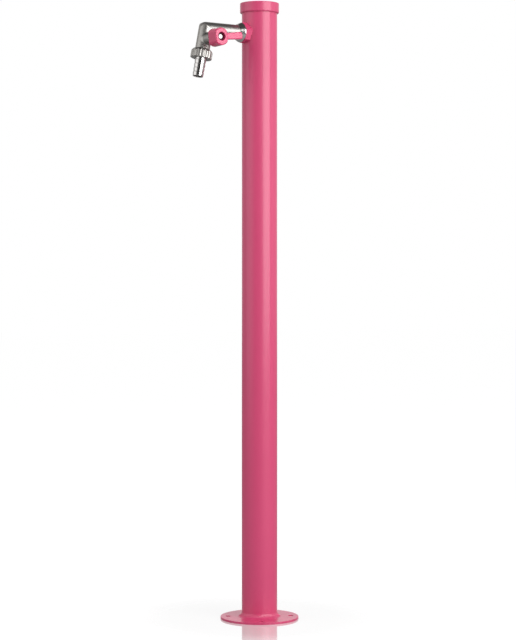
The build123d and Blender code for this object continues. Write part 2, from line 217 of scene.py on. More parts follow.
def rounded(profile: Profile, steps: int) -> Section:
    """Turn corners with roundings into the points of a closed section.

    Args:
        profile: Corners as (radius, place, rounding), in order.
        steps: Pieces of each rounding's arc.

    Returns:
        Points as (radius, place).
    """
    points: Section = []
    count = len(profile)
    for index, (radius, place, rounding) in enumerate(profile):
        corner = np.array((radius, place), float)
        if not rounding:
            points.append((radius, place))
            continue
        before = np.array(profile[index - 1][:2], float) - corner
        after = np.array(profile[(index + 1) % count][:2], float) - corner
        before /= np.linalg.norm(before)
        after /= np.linalg.norm(after)
        half = math.acos(np.clip(before @ after, -1, 1)) / 2
        reach = rounding / math.tan(half)
        middle = (before + after) / np.linalg.norm(before + after)
        centre = corner + middle * rounding / math.sin(half)
        start = corner + before * reach - centre
        end = corner + after * reach - centre
        sweep = math.pi - 2 * half
        for step in range(steps + 1):
            share = step / steps
            first = math.sin((1 - share) * sweep) / math.sin(sweep)
            second = math.sin(share * sweep) / math.sin(sweep)
            points.append(tuple(centre + start * first + end * second))
    return points


def turned(name: str, section: Callable[[float], Section], segments: int, frame: Matrix) -> Piece:
    """Turn a closed section about a frame's Z axis; the section may vary with the angle.

    Args:
        name: Name of the piece.
        section: Gives the closed section at an angle in radians, always with as many points.
        segments: Steps round the axis.
        frame: Frame whose Z axis is the piece's axis.

    Returns:
        The piece.
    """
    verts = []
    for number in range(segments):
        angle = number * 2 * math.pi / segments
        verts += [(r * math.cos(angle), r * math.sin(angle), z) for r, z in section(angle)]
    rows = len(verts) // segments
    faces = []
    for number in range(segments):
        here = number * rows
        there = (number + 1) % segments * rows
        for row in range(rows):
            after = (row + 1) % rows
            faces.append((here + row, there + row, there + after, here + after))
    piece = new_piece(name, np.array(verts), faces, frame)
    face_outward(piece)
    piece.data.set_sharp_from_angle(angle=math.radians(SHARP_ANGLE))
    return piece


def face_outward(piece: Piece) -> None:
    """Weld repeated points and turn every face of a closed mesh outward.

    Args:
        piece: The piece.
    """
    mesh = bmesh.new()
    mesh.from_mesh(piece.data)
    bmesh.ops.remove_doubles(mesh, verts=mesh.verts, dist=WELD_GAP)
    bmesh.ops.dissolve_degenerate(mesh, edges=mesh.edges, dist=WELD_GAP)
    bmesh.ops.recalc_face_normals(mesh, faces=mesh.faces)
    mesh.to_mesh(piece.data)
    mesh.free()


# Shapes given by their distance from the surface


def smooth_union(a: np.ndarray, b: np.ndarray, blend: float) -> np.ndarray:
    """Join two distance fields with a rounded inner corner about as large as blend."""
    near = np.clip(0.5 + 0.5 * (b - a) / blend, 0, 1)
    return b + (a - b) * near - blend * near * (1 - near)


def smooth_cut(a: np.ndarray, b: np.ndarray, blend: float) -> np.ndarray:
    """Keep what two distance fields share, with an edge rounded by blend."""
    return -smooth_union(-a, -b, blend)


def surface_net(
    name: str, distance: Field, low: Sequence[float], high: Sequence[float], cell: float, frame: Matrix
) -> Piece:
    """Mesh the surface on which a distance field is zero.

    Args:
        name: Name of the piece.
        distance: Gives the signed distance at an array of points.
        low: Lowest corner of the box searched.
        high: Highest corner of the box searched.
        cell: Grid step.
        frame: Frame of the points.

    Returns:
        The piece, a closed mesh of quads.
    """
    axes = [np.arange(a, b + cell, cell) for a, b in zip(low, high)]
    grid = np.stack(np.meshgrid(*axes, indexing="ij"), axis=-1)
    field = distance(grid)
    inside = field < 0
    shape = np.array(field.shape) - 1
    total = np.zeros((*shape, 3))
    crossings = np.zeros(shape)
    edges = []
    for axis in range(3):
        first = [slice(None)] * 3
        second = [slice(None)] * 3
        first[axis] = slice(0, -1)
        second[axis] = slice(1, None)
        first, second = tuple(first), tuple(second)
        crossed = np.argwhere(inside[first] != inside[second])
        step = np.eye(3, dtype=int)[axis]
        start = tuple(crossed.T)
        end = tuple((crossed + step).T)
        share = field[start] / (field[start] - field[end])
        points = grid[start] + share[:, None] * step * cell
        edges.append((axis, crossed, inside[start]))
        for a in (0, 1):
            for b in (0, 1):
                back = np.insert(np.array((a, b)), axis, 0)
                cells = crossed - back
                held = np.all((cells >= 0) & (cells < shape), axis=1)
                place = tuple(cells[held].T)
                np.add.at(total, place, points[held])
                np.add.at(crossings, place, 1)
    used = np.argwhere(crossings > 0)
    number = np.full(shape, -1)
    number[tuple(used.T)] = np.arange(len(used))
    verts = total[tuple(used.T)] / crossings[tuple(used.T)][:, None]
    faces = []
    for axis, crossed, starts_inside in edges:
        corners = []
        for a, b in ((0, 0), (1, 0), (1, 1), (0, 1)):
            back = np.insert(np.array((a, b)), axis, 0)
            corners.append(number[tuple((crossed - back).T)])
        quads = np.stack(corners, axis=1)
        flip = starts_inside if axis != 1 else ~starts_inside
        quads[flip] = quads[flip][:, ::-1]
        faces += quads.tolist()
    verts = settle(verts, distance, cell)
    piece = new_piece(name, verts, faces, frame)
    face_outward(piece)
    follow_field(piece, distance, cell, frame)
    return piece


def slope(points: np.ndarray, distance: Field, step: float) -> np.ndarray:
    """Give a distance field's gradient at points, by differences over a step.

    Args:
        points: Points, in the last dimension.
        distance: Gives the signed distance at an array of points.
        step: Half of each difference's length.

    Returns:
        The gradients.
    """
    steps = np.eye(3) * step
    sides = [distance(points + way) - distance(points - way) for way in steps]
    return np.stack(sides, axis=-1) / (2 * step)


def follow_field(piece: Piece, distance: Field, cell: float, frame: Matrix) -> None:
    """Shade a piece with the normals of the field that it was meshed from.

    Args:
        piece: The piece.
        distance: Gives the signed distance at an array of points.
        cell: Grid step of the mesh.
        frame: Frame of the field's points.
    """
    back = frame.inverted()
    points = np.array([back @ vertex.co for vertex in piece.data.vertices])
    turn = np.array(frame.to_3x3())
    normals = slope(points, distance, cell / 2) @ turn.T
    normals /= np.maximum(np.linalg.norm(normals, axis=1), 1e-9)[:, None]
    piece.data.normals_split_custom_set_from_vertices(normals.tolist())


def settle(points: np.ndarray, distance: Field, cell: float) -> np.ndarray:
    """Move points onto the zero surface of a distance field by a few Newton steps.

    Args:
        points: Points near the surface.
        distance: Gives the signed distance at an array of points.
        cell: Grid step, which the finite differences follow.

    Returns:
        The moved points.
    """
    for _ in range(SETTLE_ROUNDS):
        value = distance(points)
        rise = slope(points, distance, cell / SETTLE_PARTS)
        length = np.maximum((rise**2).sum(-1), LEAST_SLOPE)
        move = rise * (value / length)[:, None]
        points = points - np.clip(move, -cell, cell)
    return points


def along(
    points: np.ndarray, origin: Sequence[float], axis: Sequence[float]
) -> tuple[np.ndarray, np.ndarray]:
    """Split points into their distance from an axis and their place along it.

    Args:
        points: Points, in the last dimension.
        origin: Point on the axis.
        axis: Unit direction.

    Returns:
        Distance from the axis and place along it.
    """
    offset = points - np.array(origin, float)
    place = offset @ np.array(axis, float)
    radius = np.sqrt(np.maximum((offset**2).sum(-1) - place**2, 0))
    return radius, place


# Shader building


class Nodes:
    """A node tree with short ways to add and join its nodes."""

    def __init__(self, tree: bpy.types.NodeTree) -> None:
        """Keep the tree that nodes are added to."""
        self.tree = tree

    def add(self, kind: str, **values: object) -> bpy.types.Node:
        """Add a node, set its properties and feed its inputs.

        Args:
            kind: Node type.
            values: Property or input names, with _ for a space, with a value or a socket.

        Returns:
            The node.
        """
        node = self.tree.nodes.new(kind)
        for name, value in values.items():
            if hasattr(node, name):
                setattr(node, name, value)
            else:
                self.give(node, **{name: value})
        return node

    def give(self, node: bpy.types.Node, **values: object) -> None:
        """Feed a node's inputs, named with _ for a space."""
        for name, value in values.items():
            self.feed(node.inputs[name.replace("_", " ")], value)

    def feed(self, socket: Socket, value: object) -> None:
        """Link a socket to an input, or set the input's own value.

        Args:
            socket: The input.
            value: A socket to link or a value to set; a colour may come without its alpha.
        """
        if isinstance(value, Socket):
            self.tree.links.new(value, socket)
        elif isinstance(value, tuple) and len(value) == 3 and socket.type == "RGBA":
            socket.default_value = (*value, 1.0)
        else:
            socket.default_value = value

    def math(self, operation: str, a: object, b: object, clamp: bool = False) -> Socket:
        """Add a Math node and give its result.

        Args:
            operation: Name of the operation.
            a: First number or socket.
            b: Second number or socket.
            clamp: Whether the result is held between 0 and 1.

        Returns:
            The result.
        """
        node = self.add("ShaderNodeMath", operation=operation, use_clamp=clamp)
        self.feed(node.inputs[0], a)
        self.feed(node.inputs[1], b)
        return node.outputs[0]

    def mix(self, factor: object, a: object, b: object) -> Socket:
        """Mix two colours and give the result.

        Args:
            factor: Share of the second colour.
            a: First colour.
            b: Second colour.

        Returns:
            The mixed colour.
        """
        node = self.add("ShaderNodeMix", data_type="RGBA", Factor=factor)
        for number, colour in zip(MIX_COLOURS, (a, b)):
            self.feed(node.inputs[number], colour)
        return node.outputs[MIXED_COLOUR]

    def remap(self, value: object, span: Span, target: Span = (0.0, 1.0)) -> Socket:
        """Map a span of values smoothly onto another and give the result.

        Args:
            value: The value.
            span: Where it starts and stops to count.
            target: What it gives there.

        Returns:
            The mapped value.
        """
        node = self.add("ShaderNodeMapRange", interpolation_type="SMOOTHSTEP")
        for socket, number in zip(node.inputs[:5], (value, *span, *target)):
            self.feed(socket, number)
        return node.outputs[0]

    def noise(self, place: Socket, scale: object, detail: float = 2.0) -> Socket:
        """Add a noise texture and give its value."""
        node = self.add("ShaderNodeTexNoise", Vector=place, Scale=scale, Detail=detail)
        return node.outputs["Fac"]


def new_group(
    name: str, inputs: Sequence[tuple], outputs: Sequence[tuple[str, Kind]]
) -> tuple[Nodes, bpy.types.NodeOutputs, bpy.types.NodeInputs]:
    """Start a shader node group with named sockets.

    Args:
        name: Name of the group.
        inputs: Socket name, kind and default value of each input.
        outputs: Socket name and kind of each output.

    Returns:
        The group's nodes, the sockets that give its inputs and those that take its outputs.
    """
    tree = bpy.data.node_groups.new(name, "ShaderNodeTree")
    for label, kind, default in inputs:
        socket = tree.interface.new_socket(name=label, in_out="INPUT", socket_type=kind.value)
        socket.default_value = default
    for label, kind in outputs:
        tree.interface.new_socket(name=label, in_out="OUTPUT", socket_type=kind.value)
    given, result = tree.nodes.new("NodeGroupInput"), tree.nodes.new("NodeGroupOutput")
    return Nodes(tree), given.outputs, result.inputs


class Effects:
    """The shared node groups: surface texture, drifting tone and settled dust."""

    def __init__(self) -> None:
        """Build each group once."""
        self.texture = self.build_texture()
        self.tone = self.build_tone()
        self.dust = self.build_dust()

    @staticmethod
    def build_texture() -> bpy.types.NodeTree:
        """Two sizes of noise as one bumped normal and one mask.

        Returns:
            The group.
        """
        nodes, given, result = new_group(
            "surface_texture",
            [
                ("Position", Kind.VECTOR, ORIGIN),
                ("Broad Scale", Kind.FLOAT, 200.0),
                ("Fine Scale", Kind.FLOAT, 1500.0),
                ("Fine Share", Kind.FLOAT, 0.3),
                ("Depth", Kind.FLOAT, 0.00002),
            ],
            [("Normal", Kind.VECTOR), ("Mask", Kind.FLOAT)],
        )
        node = nodes.add("ShaderNodeMix", Factor=given["Fine Share"])
        for number, scale in zip(MIX_NUMBERS, ("Broad Scale", "Fine Scale")):
            nodes.feed(node.inputs[number], nodes.noise(given["Position"], given[scale]))
        mixed = node.outputs[MIXED_NUMBER]
        bump = nodes.add("ShaderNodeBump", Height=mixed, Distance=given["Depth"])
        nodes.feed(result["Normal"], bump.outputs["Normal"])
        nodes.feed(result["Mask"], mixed)
        return nodes.tree

    @staticmethod
    def build_tone() -> bpy.types.NodeTree:
        """A colour that drifts a little towards a second one over the surface.

        Returns:
            The group.
        """
        nodes, given, result = new_group(
            "drifting_tone",
            [
                ("Position", Kind.VECTOR, ORIGIN),
                ("Scale", Kind.FLOAT, 20.0),
                ("Amount", Kind.FLOAT, 0.2),
                ("Colour", Kind.COLOUR, (1, 1, 1, 1)),
                ("Second Colour", Kind.COLOUR, (0, 0, 0, 1)),
            ],
            [("Colour", Kind.COLOUR)],
        )
        level = nodes.remap(nodes.noise(given["Position"], given["Scale"], detail=4.0), (0.35, 0.7))
        share = nodes.math("MULTIPLY", level, given["Amount"])
        nodes.feed(result["Colour"], nodes.mix(share, given["Colour"], given["Second Colour"]))
        return nodes.tree

    @staticmethod
    def build_dust() -> bpy.types.NodeTree:
        """A mask of the dust that settles on faces that look up, and in patches elsewhere.

        Returns:
            The group.
        """
        nodes, given, result = new_group(
            "settled_dust",
            [
                ("Position", Kind.VECTOR, ORIGIN),
                ("Scale", Kind.FLOAT, 900.0),
                ("Amount", Kind.FLOAT, 0.1),
            ],
            [("Mask", Kind.FLOAT)],
        )
        normal = nodes.add("ShaderNodeNewGeometry").outputs["Normal"]
        rise = nodes.add("ShaderNodeSeparateXYZ", Vector=normal).outputs["Z"]
        upward = nodes.remap(rise, (0.2, 0.95), (0.15, 1.0))
        specks = nodes.remap(nodes.noise(given["Position"], given["Scale"], detail=6.0), (0.5, 0.72))
        settled = nodes.math("MULTIPLY", upward, specks)
        nodes.feed(result["Mask"], nodes.math("MULTIPLY", settled, given["Amount"], clamp=True))
        return nodes.tree


class Surface:
    """A material in the making: its nodes, its shader and the shared effects on it."""

    def __init__(self, name: str, effects: Effects) -> None:
        """Start the material under its name.

        Args:
            name: Name of the material.
            effects: The shared node groups.
        """
        self.material = bpy.data.materials.new(name)
        self.material.use_nodes = True
        self.nodes = Nodes(self.material.node_tree)
        self.shader = self.material.node_tree.nodes["Principled BSDF"]
        self.place = self.nodes.add("ShaderNodeTexCoord").outputs["Object"]
        self.effects = effects

    def group(self, tree: bpy.types.NodeTree, values: dict[str, object]) -> bpy.types.NodeOutputs:
        """Place a shared group with its own values and give its outputs."""
        return self.nodes.add("ShaderNodeGroup", node_tree=tree, Position=self.place, **values).outputs

    def tone(self, finish: Finish, **values: object) -> Socket:
        """Give the finish's drifting colour."""
        colours = {"Colour": finish.colour, "Second_Colour": finish.second_colour}
        return self.group(self.effects.tone, colours | values)["Colour"]

    def dust(self, **values: object) -> Socket:
        """Give the mask of the settled dust."""
        return self.group(self.effects.dust, values)["Mask"]

    def texture(self, **values: object) -> bpy.types.NodeOutputs:
        """Give the texture's Normal and Mask."""
        return self.group(self.effects.texture, values)


@dataclass(frozen=True)
class Finish:
    """Base of every finish.

    Attributes:
        name: Name of the material.
        colour: Main colour.
        second_colour: Colour that it drifts towards in patches.
        roughness: Roughness at its lowest, or near it.
    """

    name: str
    colour: Colour
    second_colour: Colour
    roughness: float

    def build(self, effects: Effects) -> bpy.types.Material:
        """Make the material.

        Args:
            effects: The shared node groups.

        Returns:
            The material.
        """
        surface = Surface(self.name, effects)
        self.dress(surface)
        return surface.material

    def dress(self, surface: Surface) -> None:
        """Dress the surface; each finish does it in its own way."""
        raise NotImplementedError


@dataclass(frozen=True)
class Enamel(Finish):
    """Smooth sprayed enamel, with a faint orange peel and fine dust.

    Attributes:
        peel_depth: Depth of the orange peel, in metres.
        smoothest: What the peel's smoothest places add to the roughness.
        roughest: What its roughest places add.
        dust_colour: Colour of the dust.
        dust_roughness: What full dust adds to the roughness.
    """

    peel_depth: float = 0.0000006
    smoothest: float = -0.01
    roughest: float = 0.02
    dust_colour: Colour = (0.78, 0.62, 0.64)
    dust_roughness: float = 0.5

    def dress(self, surface: Surface) -> None:
        """Give the surface the enamel's colour, gloss and peel.

        Args:
            surface: The material in the making.
        """
        nodes = surface.nodes
        tone = surface.tone(self, Scale=9.0, Amount=0.35)
        dust = surface.dust(Scale=700.0, Amount=0.015)
        peel = surface.texture(
            Broad_Scale=420.0, Fine_Scale=2600.0, Fine_Share=0.25, Depth=self.peel_depth
        )
        limits = (self.roughness + self.smoothest, self.roughness + self.roughest)
        spread = nodes.remap(peel["Mask"], (0.3, 0.7), limits)
        nodes.give(
            surface.shader,
            Base_Color=nodes.mix(dust, tone, self.dust_colour),
            Roughness=nodes.math("ADD", spread, nodes.math("MULTIPLY", dust, self.dust_roughness)),
            Normal=peel["Normal"],
            IOR=1.5,
            Coat_Weight=0.43,
            Coat_Roughness=0.2,
        )


@dataclass(frozen=True)
class Plating(Finish):
    """Nickel and chrome plating over a machined or cast surface.

    Attributes:
        roughness_spread: What the duller patches add to the roughness.
        broad_scale: Scale of the surface's waviness.
        fine_ratio: How much finer its second noise is.
        depth: Depth of the waviness, in metres.
        dust: Amount of settled dust.
        dust_colour: Colour of the dust.
        dust_roughness: What full dust adds to the roughness.
    """

    roughness_spread: float = 0.04
    broad_scale: float = 260.0
    fine_ratio: float = 6.0
    depth: float = 0.0000005
    dust: float = 0.03
    dust_colour: Colour = (0.62, 0.60, 0.57)
    dust_roughness: float = 0.6

    def dress(self, surface: Surface) -> None:
        """Give the surface the plating's tone, gloss and waviness.

        Args:
            surface: The material in the making.
        """
        nodes = surface.nodes
        tone = surface.tone(self, Scale=40.0, Amount=0.35)
        dust = surface.dust(Scale=2200.0, Amount=self.dust)
        waves = surface.texture(
            Broad_Scale=self.broad_scale,
            Fine_Scale=self.broad_scale * self.fine_ratio,
            Fine_Share=0.12,
            Depth=self.depth,
        )
        limits = (self.roughness, self.roughness + self.roughness_spread)
        spread = nodes.remap(waves["Mask"], (0.38, 0.66), limits)
        nodes.give(
            surface.shader,
            Base_Color=nodes.mix(dust, tone, self.dust_colour),
            Roughness=nodes.math("ADD", spread, nodes.math("MULTIPLY", dust, self.dust_roughness)),
            Normal=waves["Normal"],
            Metallic=1.0,
        )


@dataclass(frozen=True)
class BareMetal(Finish):
    """Machined brass or drawn copper with tool lines round the vertical axis and dull patches.

    Attributes:
        lines_scale: Tool lines per metre, about.
        lines_roughness: What the tool lines add to the roughness.
        depth: Depth of the tool lines, in metres.
    """

    lines_scale: float = 900.0
    lines_roughness: float = 0.12
    depth: float = 0.000006

    def dress(self, surface: Surface) -> None:
        """Give the surface the metal's tone and tool lines.

        Args:
            surface: The material in the making.
        """
        nodes = surface.nodes
        lines = nodes.add(
            "ShaderNodeTexWave",
            bands_direction="Z",
            Vector=surface.place,
            Scale=self.lines_scale,
            Distortion=1.5,
        ).outputs["Fac"]
        limits = (self.roughness, self.roughness + self.lines_roughness)
        nodes.give(
            surface.shader,
            Base_Color=surface.tone(self, Scale=70.0, Amount=0.7),
            Roughness=nodes.remap(lines, (0.0, 1.0), limits),
            Normal=nodes.add("ShaderNodeBump", Height=lines, Distance=self.depth).outputs["Normal"],
            Metallic=1.0,
        )


@dataclass(frozen=True)
class Moulded(Finish):
    """Moulded rubber or turned seal plastic with a fine grain and a paler bloom.

    Attributes:
        grain: Scale of the grain.
        fine_ratio: How much finer its second noise is.
        grain_roughness: What the grain adds to the roughness.
        depth: Depth of the grain, in metres.
    """

    grain: float = 1800.0
    fine_ratio: float = 4.0
    grain_roughness: float = 0.2
    depth: float = 0.00001

    def dress(self, surface: Surface) -> None:
        """Give the surface the material's tone and grain.

        Args:
            surface: The material in the making.
        """
        grain = surface.texture(
            Broad_Scale=self.grain, Fine_Scale=self.grain * self.fine_ratio, Fine_Share=0.4, Depth=self.depth
        )
        limits = (self.roughness, self.roughness + self.grain_roughness)
        surface.nodes.give(
            surface.shader,
            Base_Color=surface.tone(self, Scale=120.0, Amount=0.5),
            Roughness=surface.nodes.remap(grain["Mask"], (0.3, 0.7), limits),
            Normal=grain["Normal"],
        )


FINISHES: dict[str, Finish] = {
    "paint": Enamel("post_enamel", (0.640, 0.056, 0.165), (0.600, 0.048, 0.150), 0.42),
    "lever_paint": Enamel("lever_enamel", (0.680, 0.060, 0.170), (0.600, 0.045, 0.135), 0.32),
    "plating": Plating("bright_plating", (0.64, 0.63, 0.62), (0.56, 0.55, 0.54), 0.12),
    "satin_plating": Plating(
        "satin_plating", (0.43, 0.42, 0.40), (0.37, 0.36, 0.34), 0.36, broad_scale=300.0
    ),
    # Near-black plating: painted shade that darkens the lever's nut and washer as the shade in the hub's
    # recess would
    "recess_shade_plating": Plating(
        "recess_shade_plating", (0.11, 0.09, 0.09), (0.08, 0.065, 0.065), 0.5,
        roughness_spread=0.06, broad_scale=300.0,
    ),
    "brass": BareMetal("machined_brass", (0.80, 0.58, 0.27), (0.48, 0.33, 0.14), 0.24),
    "copper": BareMetal("drawn_copper", (0.80, 0.42, 0.27), (0.42, 0.20, 0.12), 0.24, lines_scale=60.0),
    "rubber": Moulded("black_rubber", (0.022, 0.022, 0.023), (0.06, 0.06, 0.06), 0.5),
    "seal_plastic": Moulded("seal_plastic", (0.82, 0.81, 0.77), (0.70, 0.69, 0.64), 0.35),
}

# Nodes that look other than their slot: the lever's nut and washer get a near-black plating that is painted
# shade of the hub's recess, and the ring is bright
OWN_FINISHES = {"handle_nut": "recess_shade_plating", "handle_washer": "recess_shade_plating", "rosette": "plating"}


class Palette:
    """The object's materials, one for each finish."""

    def __init__(self) -> None:
        """Build the shared effects and every material."""
        effects = Effects()
        self.materials = {slot: finish.build(effects) for slot, finish in FINISHES.items()}

    def dress(self, piece: Piece, finish: str) -> None:
        """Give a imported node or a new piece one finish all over."""
        piece.data.materials.clear()
        piece.data.materials.append(self.materials[finish])


def place_piece(piece: Piece, palette: Palette, slot: Slot, body: Body, nodes: Sequence[str]) -> None:
    """Dress a piece, fix it to its body and hide the nodes that it stands for.

    Args:
        piece: The piece.
        palette: The materials.
        slot: The material slot it takes its finish from.
        body: The body it moves with.
        nodes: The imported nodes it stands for.
    """
    palette.dress(piece, slot.value)
    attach(piece, body.value)
    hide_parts(*nodes)
    log.info("built %s, %d faces", piece.name, len(piece.data.polygons))


# Sub-assemblies


@dataclass
class ColumnFoot:
    """The weld bead between the column and the base flange, laid in short overlapping steps.

    Attributes:
        column_radius: Outside radius of the column.
        flange_top: Height of the flange's upper face.
        weld_leg: Length of the weld's legs.
        throat_dip: How far the weld's face lies inside the straight line between its toes.
        ripple_count: Steps of the bead round the column.
        ripple_height: Height of the bead's ripples.
        ripple_lag: How far the ripples trail at the weld's toes, in radians.
        drift: Size of the slow drift in the bead's width.
        drift_waves: Waves of that drift round the column, as count, height and phase.
        face_steps: Rows across the weld's face.
        segments: Steps round the column.
    """

    column_radius: float = 30.0
    flange_top: float = 3.5
    weld_leg: float = 7.5
    throat_dip: float = 1.4
    ripple_count: int = 150
    ripple_height: float = 0.07
    ripple_lag: float = 0.9
    drift: float = 0.3
    drift_waves: tuple[tuple[int, float, float], ...] = ((3, 0.35, 0.6), (7, 0.25, 0.0))
    face_steps: int = 14
    segments: int = 1200

    def section(self, angle: float) -> Section:
        """Give the weld's section at an angle.

        Args:
            angle: Angle round the column, in radians.

        Returns:
            The closed section.
        """
        drift = sum(height * math.sin(count * angle + phase) for count, height, phase in self.drift_waves)
        points = [(self.column_radius, self.flange_top)]
        for step in range(self.face_steps + 1):
            share = step / self.face_steps
            bulge = math.sin(math.pi * share)
            wave = math.cos(self.ripple_count * angle + self.ripple_lag * (bulge - 1))
            leg = self.weld_leg + self.drift * drift * bulge
            height = bulge * (self.ripple_height * wave - self.throat_dip)
            out = self.column_radius + leg * (1 - share) + height
            up = self.flange_top + leg * share + height
            points.append((out, up))
        return points

    def build(self, places: Places, palette: Palette) -> None:
        """Build and place the bead."""
        bead = turned("weld_bead", self.section, self.segments, places.ground)
        place_piece(bead, palette, Slot.PAINT, Body.STANDPIPE, ["base_weld"])


@dataclass
class TapCasting:
    """The angled tap body, blended as a casting and bored for the valve.

    Attributes:
        leg_diameter: Diameter of both legs.
        reach: Distance from the column's axis to the elbow's centre.
        start: Place of the ring's face, where the horizontal leg begins.
        tail_diameter: Diameter of the screwed tail.
        tail_start: Place of the tail's inner end.
        leg_length: Length of the spout's leg from the elbow's centre.
        stem_drop: Distance from the elbow's centre down the spout to the stem.
        housing_diameter: Diameter of the stem's housing.
        housing_end: Place of the housing's end along the stem.
        waterway_diameter: Bore of both legs.
        cavity_diameter: Bore of the ball's chamber.
        cavity_start: Place of the chamber's upper end down the spout.
        insert_diameter: Bore of the spout's open end.
        insert_start: Place of the open end's shoulder.
        stem_bore: Bore for the stem.
        gland_bore: Bore for the gland nut.
        gland_start: Place of the gland bore's floor.
        inner_blend: Size of the rounding inside the elbow.
        least_share: Share of that rounding which is left on the elbow's outer side.
        corner_reach: Distance from the elbow's centre to the flat across its outer corner.
        corner_blend: Size of the rounding round that flat.
        housing_blend: Size of the rounding at the housing's foot.
        edge_blend: Size of the rounding at the ends.
        cell: Grid step of the mesh.
        margin: Space left round the body.
    """

    leg_diameter: float = 24.5
    reach: float = 108.6
    start: float = 41.0
    tail_diameter: float = 20.9
    tail_start: float = 27.0
    leg_length: float = 35.8
    stem_drop: float = 17.85
    housing_diameter: float = 19.0
    housing_end: float = 26.2
    waterway_diameter: float = 12.0
    cavity_diameter: float = 17.6
    cavity_start: float = 8.75
    insert_diameter: float = 20.1
    insert_start: float = 26.95
    stem_bore: float = 8.1
    gland_bore: float = 14.1
    gland_start: float = 20.7
    inner_blend: float = 6.0
    least_share: float = 0.02
    corner_reach: float = 12.8
    corner_blend: float = 3.0
    housing_blend: float = 2.4
    edge_blend: float = 0.6
    cell: float = 0.7
    margin: float = 2.0

    def outside(self, points: np.ndarray, leg_axis: Sequence[float]) -> np.ndarray:
        """Give the distance from the body's outside.

        Args:
            points: Points in the spout's frame.
            leg_axis: Direction of the horizontal leg, towards the column.

        Returns:
            Signed distances.
        """
        radius = self.leg_diameter / 2
        spout_radius, down = along(points, ORIGIN, Z_AXIS)
        leg_radius, back = along(points, ORIGIN, leg_axis)
        corner = np.maximum(spout_radius, leg_radius)
        spout = np.where(down < 0, corner, spout_radius) - radius
        leg = np.where(back < 0, corner, leg_radius) - radius
        spout = smooth_cut(spout, down - self.leg_length, self.edge_blend)
        leg = smooth_cut(leg, back - (self.reach - self.start), self.edge_blend)
        corner_axis = -(np.array(leg_axis) + np.array(Z_AXIS))
        outward = points @ (corner_axis / np.linalg.norm(corner_axis))
        inner_share = np.clip(-outward / radius, self.least_share, 1.0)
        body = smooth_union(spout, leg, self.inner_blend * inner_share)
        body = smooth_cut(body, outward - self.corner_reach, self.corner_blend)
        stem_radius, sideways = along(points, (0, 0, self.stem_drop), X_AXIS)
        housing = stem_radius - self.housing_diameter / 2
        housing = smooth_cut(housing, sideways - self.housing_end, self.edge_blend)
        body = smooth_union(body, np.maximum(housing, -sideways), self.housing_blend)
        half_length = (self.reach - self.tail_start) / 2
        tail = np.maximum(leg_radius - self.tail_diameter / 2, np.abs(back - half_length) - half_length)
        return np.minimum(body, tail)

    def inside(self, points: np.ndarray, leg_axis: Sequence[float]) -> np.ndarray:
        """Give the distance from the bores' walls.

        Args:
            points: Points in the spout's frame.
            leg_axis: Direction of the horizontal leg, towards the column.

        Returns:
            Signed distances, below zero in the bores.
        """
        spout_radius, down = along(points, ORIGIN, Z_AXIS)
        leg_radius, back = along(points, ORIGIN, leg_axis)
        corner = np.sqrt((points**2).sum(-1)) - self.waterway_diameter / 2
        upper = np.where(down < 0, corner, spout_radius - self.waterway_diameter / 2)
        level = np.where(back < 0, corner, leg_radius - self.waterway_diameter / 2)
        cavity = np.maximum(spout_radius - self.cavity_diameter / 2, self.cavity_start - down)
        mouth = np.maximum(spout_radius - self.insert_diameter / 2, self.insert_start - down)
        stem_radius, sideways = along(points, (0, 0, self.stem_drop), X_AXIS)
        stem = np.maximum(stem_radius - self.stem_bore / 2, -sideways)
        gland = np.maximum(stem_radius - self.gland_bore / 2, self.gland_start - sideways)
        return np.minimum.reduce([upper, level, cavity, mouth, stem, gland])

    def build(self, places: Places, palette: Palette) -> None:
        """Build and place the body.

        Args:
            places: The frames.
            palette: The materials.
        """
        to_spout = places.spout.to_3x3().inverted()
        leg_axis = (to_spout @ Vector(Y_AXIS)).normalized()

        def field(points: np.ndarray) -> np.ndarray:
            """Signed distance from the bored body."""
            return np.maximum(self.outside(points, leg_axis), -self.inside(points, leg_axis))

        radius = self.leg_diameter / 2 + self.margin
        far = leg_axis * (self.reach - self.tail_start)
        low = (-radius, far.y - radius, far.z - radius)
        high = (self.housing_end + self.margin, radius, self.leg_length + self.margin)
        casting = surface_net("tap_casting", field, low, high, self.cell, places.spout)
        place_piece(casting, palette, Slot.SATIN_PLATING, Body.STANDPIPE, ["tap_body"])


